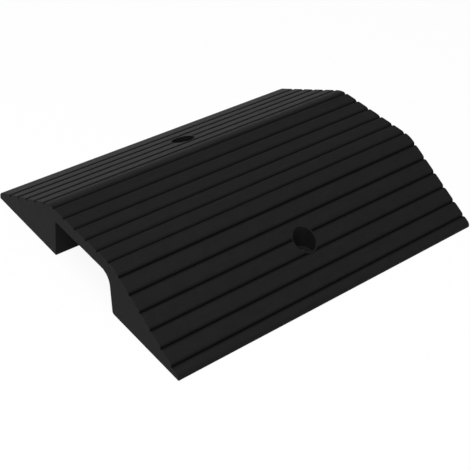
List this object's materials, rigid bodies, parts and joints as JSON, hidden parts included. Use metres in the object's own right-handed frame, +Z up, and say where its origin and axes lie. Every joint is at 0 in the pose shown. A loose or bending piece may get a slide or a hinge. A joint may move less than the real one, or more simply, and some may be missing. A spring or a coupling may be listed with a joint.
{
  "type": "bridge threshold ramp",
  "caption": "Moulded black rubber bridge ramp: ribbed slopes up to a level ribbed deck over an open channel, with a bushed floor-fixing recess in each slope.",
  "frame": {"origin": "on the floor, under the middle of the ramp's length and depth", "axes": "+X along the ramp, +Y from the front toe to the rear toe, +Z up"},
  "size_m": [0.5, 0.4, 0.075],
  "materials": {
    "moulded_rubber": "matt moulded rubber, near black, with a faint sheen at low angles",
    "bush_steel": "black coated steel, satin"
  },
  "bodies": {
    "root": {"ramp_body": "moulded_rubber", "front_fixing_bush": "bush_steel", "rear_fixing_bush": "bush_steel"}
  },
  "joints": []
}
